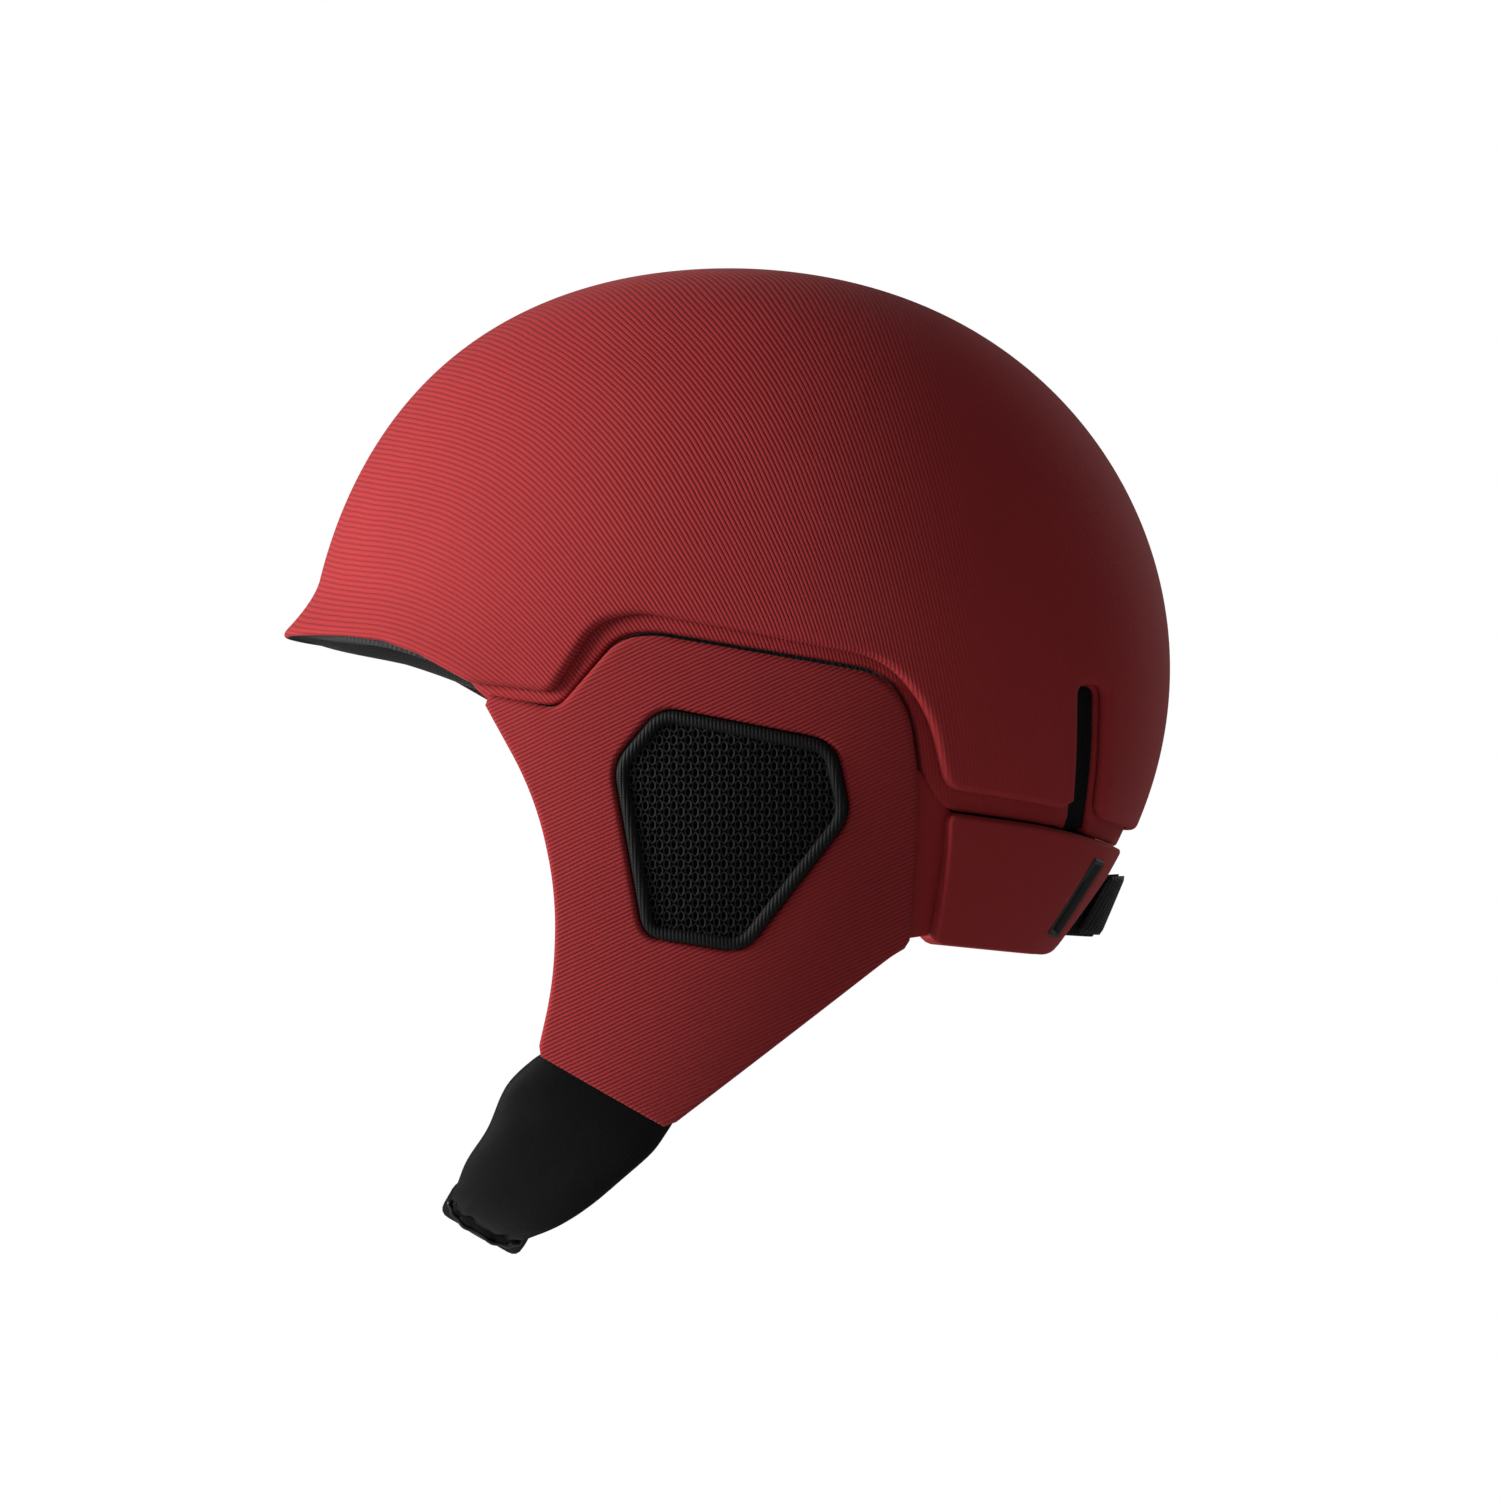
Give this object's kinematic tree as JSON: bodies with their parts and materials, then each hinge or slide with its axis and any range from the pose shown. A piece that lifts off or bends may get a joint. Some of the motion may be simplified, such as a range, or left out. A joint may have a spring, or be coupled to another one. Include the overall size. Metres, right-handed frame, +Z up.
{
  "type": "water helmet",
  "caption": "Soft-shell water sports helmet with a short brim, padded ear flaps with mesh windows, rear neck strap and a chin strap with a snap buckle.",
  "frame": {"origin": "centre of the dome, inside the head space", "axes": "+X the wearer's left, -Y the way the face looks, +Z up"},
  "size_m": [0.2032, 0.2704, 0.2978],
  "materials": {
    "red_fabric": "matte ribbed twill over foam",
    "black_neoprene": "matte neoprene",
    "grey_lining": "matte knit over soft foam",
    "black_webbing": "woven nylon webbing",
    "black_plastic": "moulded, fine matte texture",
    "grey_rubber": "satin moulded rubber",
    "magnet_metal": "bright plated"
  },
  "bodies": {
    "shell": {"crown_shell": "red_fabric", "crown_core": "red_fabric", "brim_lining": "grey_lining", "brow_pad": "grey_lining", "crown_pad": "grey_lining", "nape_pad": "grey_lining", "side_pad_left": "grey_lining", "side_pad_right": "grey_lining", "slit_gusset_left": "black_neoprene", "slit_gusset_right": "black_neoprene", "hinge_band_left": "red_fabric", "hinge_band_right": "red_fabric"},
    "left_flap": {"ear_flap_left": "red_fabric", "ear_frame_left": "grey_rubber", "ear_mesh_left": "black_plastic", "ear_pad_left": "grey_lining", "chin_sleeve_left": "black_neoprene", "sleeve_cuff_left": "black_neoprene"},
    "right_flap": {"ear_flap_right": "red_fabric", "ear_frame_right": "grey_rubber", "ear_mesh_right": "black_plastic", "ear_pad_right": "grey_lining", "chin_sleeve_right": "black_neoprene", "sleeve_cuff_right": "black_neoprene", "webbing_right": "black_webbing", "buckle_body": "black_plastic", "buckle_magnet": "magnet_metal"},
    "left_clip": {"buckle_clip": "black_plastic", "clip_magnet": "magnet_metal", "webbing_left": "black_webbing"},
    "button": {"buckle_button": "grey_rubber"},
    "left_neck": {"neck_panel_left": "red_fabric", "slot_eyelet_left": "grey_rubber"},
    "right_neck": {"neck_panel_right": "red_fabric", "slot_eyelet_right": "grey_rubber"},
    "strap": {"nape_strap": "black_webbing"},
    "tab": {"strap_tab": "black_webbing"}
  },
  "joints": [
    {"name": "left_flap_flex", "type": "hinge", "parent": "shell", "child": "left_flap", "pos_m": [0.1015, 0, -0.0098], "axis": [0, -0.9852, 0.1714], "range_deg": [0, 10], "stiffness_Nm_per_rad": 3, "springref_deg": -2.86},
    {"name": "right_flap_flex", "type": "hinge", "parent": "shell", "child": "right_flap", "pos_m": [-0.1015, 0, -0.0098], "axis": [0, 0.9852, -0.1714], "range_deg": [0, 10], "stiffness_Nm_per_rad": 3, "springref_deg": -2.86},
    {"name": "clip_release", "type": "slide", "parent": "left_flap", "child": "left_clip", "axis": [1, 0, 0], "range_m": [0, 0.007]},
    {"name": "button_press", "type": "slide", "parent": "right_flap", "child": "button", "axis": [0, 0.5, 0.866], "range_m": [0, 0.0013], "stiffness_N_per_m": 600, "springref_m": -0.0006},
    {"name": "left_neck_flex", "type": "hinge", "parent": "shell", "child": "left_neck", "pos_m": [0.075, 0.0585, -0.076], "axis": [0, 0, 1], "range_deg": [-1.5, 2], "stiffness_Nm_per_rad": 0.8},
    {"name": "right_neck_flex", "type": "hinge", "parent": "shell", "child": "right_neck", "pos_m": [-0.075, 0.0585, -0.076], "axis": [0, 0, -1], "range_deg": [-1.5, 2]},
    {"name": "strap_take_up", "type": "slide", "parent": "shell", "child": "strap", "axis": [0, 1, 0], "range_m": [-0.002, 0.0015]},
    {"name": "tab_peel", "type": "hinge", "parent": "strap", "child": "tab", "pos_m": [0.01385, 0.10463, -0.0834], "axis": [0, -0.3899, -0.9208], "range_deg": [0, 75]}
  ],
  "couplings": [
    {"joint": "right_neck_flex", "follows": "left_neck_flex", "ratio": 1},
    {"joint": "strap_take_up", "follows": "left_neck_flex", "m_per_rad": -0.05}
  ]
}
